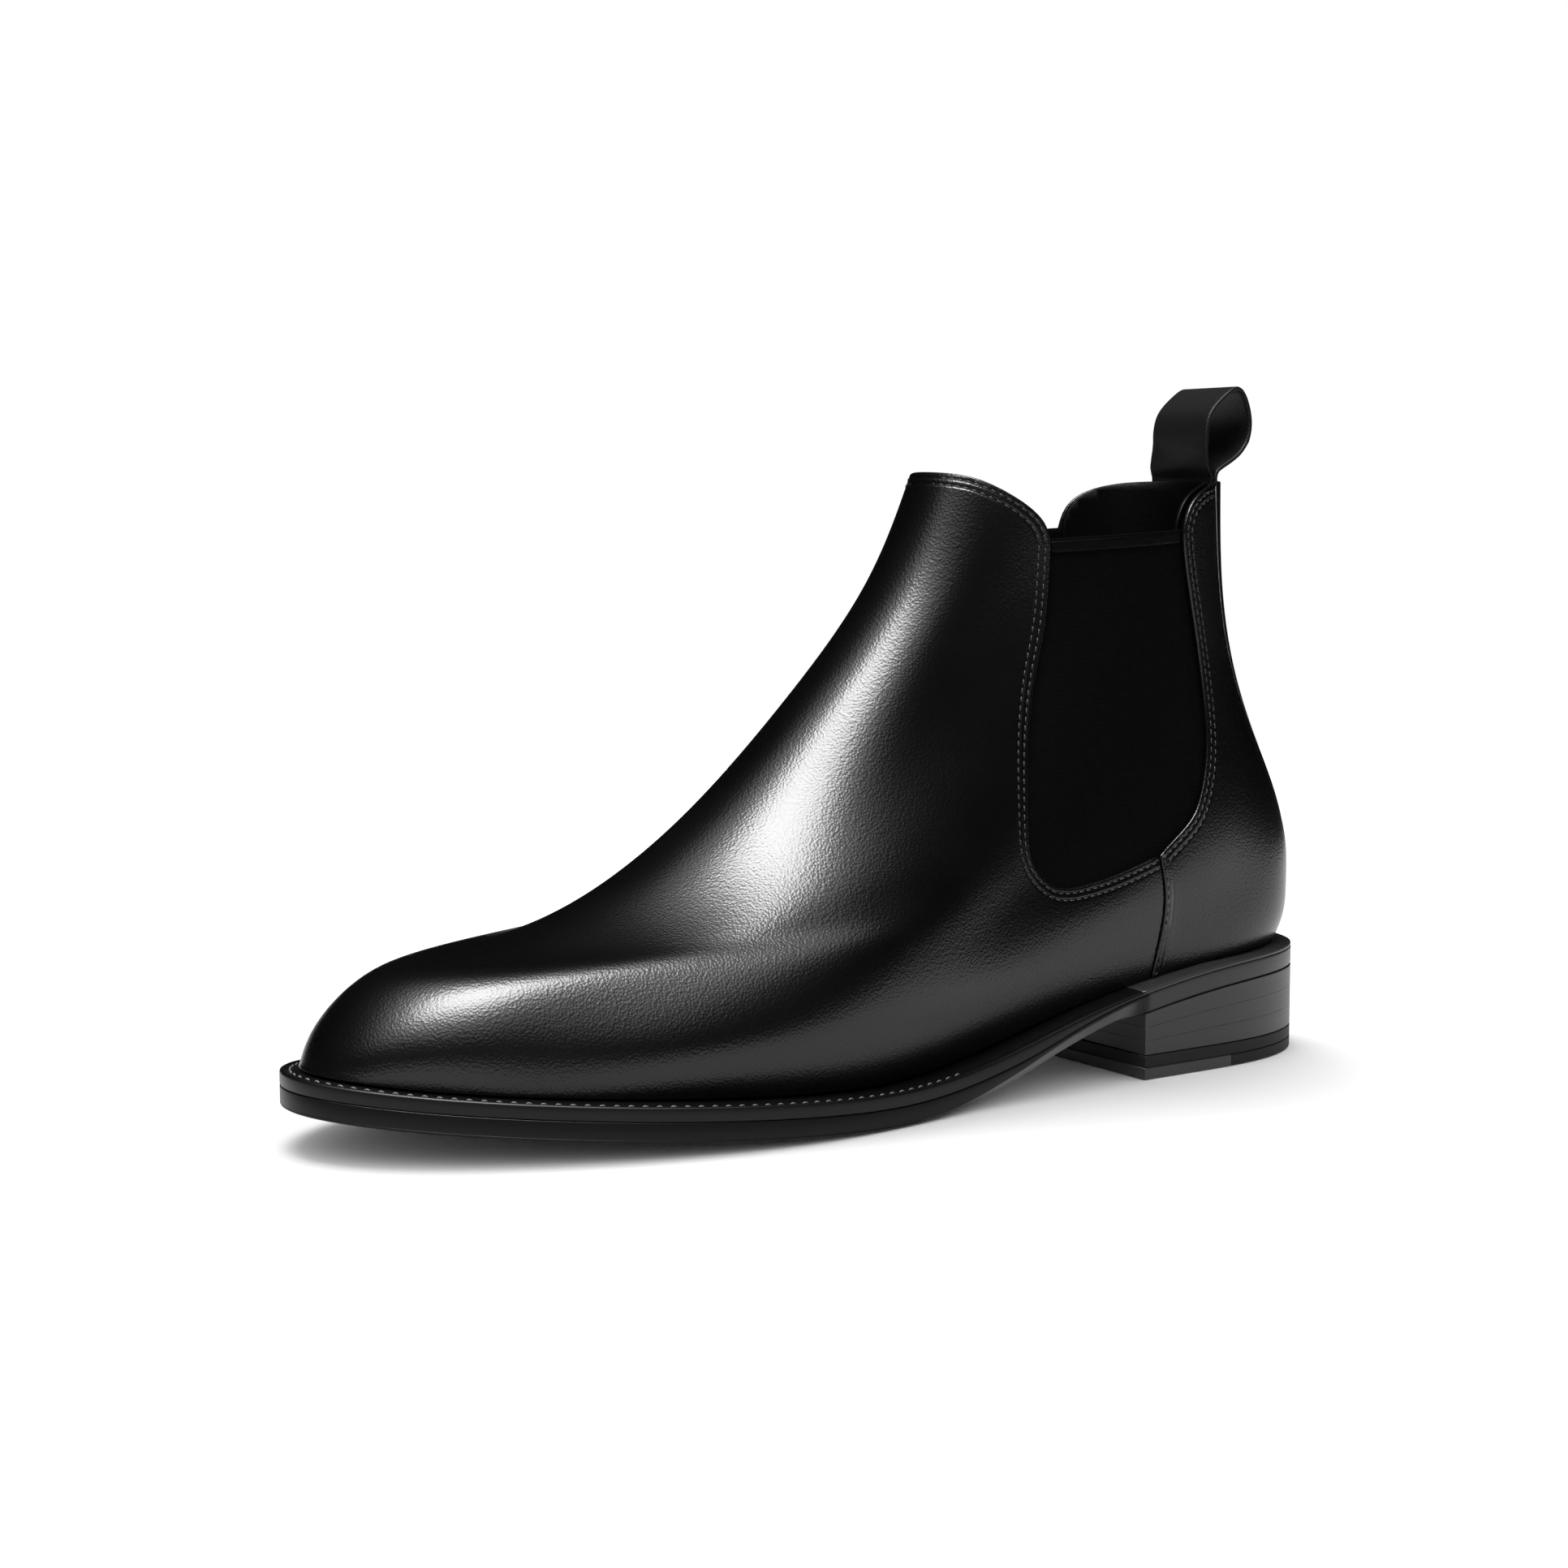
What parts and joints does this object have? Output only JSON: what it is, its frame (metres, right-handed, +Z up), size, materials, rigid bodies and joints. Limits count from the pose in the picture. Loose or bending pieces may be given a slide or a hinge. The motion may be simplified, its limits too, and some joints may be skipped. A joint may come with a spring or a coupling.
{
  "type": "chelsea boot",
  "caption": "Ankle-high polished leather boot with elastic side gores, a webbing pull loop at the back, a welted leather sole and a stacked heel; left foot.",
  "frame": {"origin": "on the floor under the middle of the boot's bounding box", "axes": "+Z up, -Y towards the toe, +X towards the outer (lateral) side of the left foot"},
  "size_m": [0.106, 0.307, 0.1877],
  "materials": {
    "polished_calf": "polished black calf",
    "calf_lining": "soft dark lining calf",
    "woven_elastic": "matt black rib-woven elastic",
    "loop_webbing": "matt black ribbed webbing",
    "stiffener": "fibrous leather board",
    "insole_leather": "vegetable tanned, unfinished",
    "cork": "granulated cork",
    "spring_steel": "brushed",
    "edge_leather": "waxed and burnished black edge",
    "sole_leather": "black stained sole leather",
    "heel_rubber": "matt black rubber",
    "brass": "polished"
  },
  "bodies": {
    "boot": {"vamp": "polished_calf", "quarter_lateral": "polished_calf", "quarter_medial": "polished_calf", "back_strip": "polished_calf", "vamp_lining": "calf_lining", "quarter_lining": "calf_lining", "sock_liner": "calf_lining", "gore_lateral": "woven_elastic", "gore_medial": "woven_elastic", "gore_binding_lateral": "woven_elastic", "gore_binding_medial": "woven_elastic", "heel_counter": "stiffener", "toe_puff": "stiffener", "topline_tape": "stiffener", "pull_loop_tails": "loop_webbing", "insole": "insole_leather", "insole_rib": "insole_leather", "cork_filler": "cork", "shank": "spring_steel", "welt": "edge_leather", "heel_seat": "edge_leather", "outsole": "sole_leather", "heel_lift_1": "edge_leather", "heel_lift_2": "edge_leather", "heel_lift_3": "edge_leather", "top_lift_base": "heel_rubber", "top_lift_rubber": "heel_rubber", "top_lift_insert": "sole_leather", "heel_pin_1": "brass", "heel_pin_2": "brass", "heel_pin_3": "brass", "heel_pin_4": "brass", "heel_pin_5": "brass"},
    "pull_loop": {"pull_loop": "loop_webbing"}
  },
  "joints": [
    {"name": "pull_loop_flop", "type": "hinge", "parent": "boot", "child": "pull_loop", "pos_m": [-0.0039, 0.122, 0.1634], "axis": [1, 0, 0], "range_deg": [-40, 55], "stiffness_Nm_per_rad": 0.01}
  ]
}
